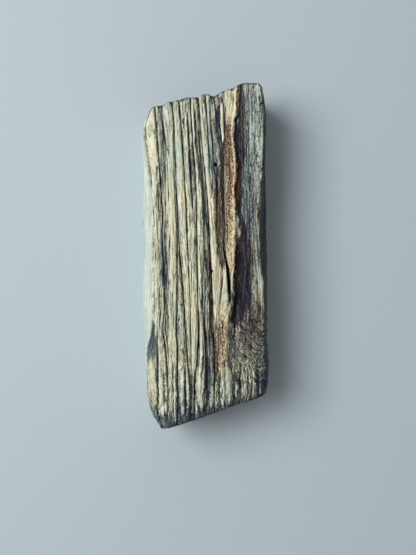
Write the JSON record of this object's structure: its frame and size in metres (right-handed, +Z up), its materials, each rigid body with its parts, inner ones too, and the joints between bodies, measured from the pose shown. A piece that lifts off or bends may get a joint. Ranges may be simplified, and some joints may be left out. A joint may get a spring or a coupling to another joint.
{
  "type": "palo santo stick",
  "caption": "Short split stick of aromatic palo santo wood with weathered ridges and grooves, a resin vein and slanted cut ends.",
  "frame": {"origin": "on the surface that the stick rests on, under the middle of its bounding box", "axes": "+Y along the grain towards the end that is cut at the higher corner on the right, +Z up out of the weathered face, +X to the right across the grain"},
  "size_m": [0.0386, 0.1003, 0.0245],
  "materials": {
    "wood": "dry weathered grain"
  },
  "bodies": {
    "root": {"stick": "wood"}
  },
  "joints": []
}
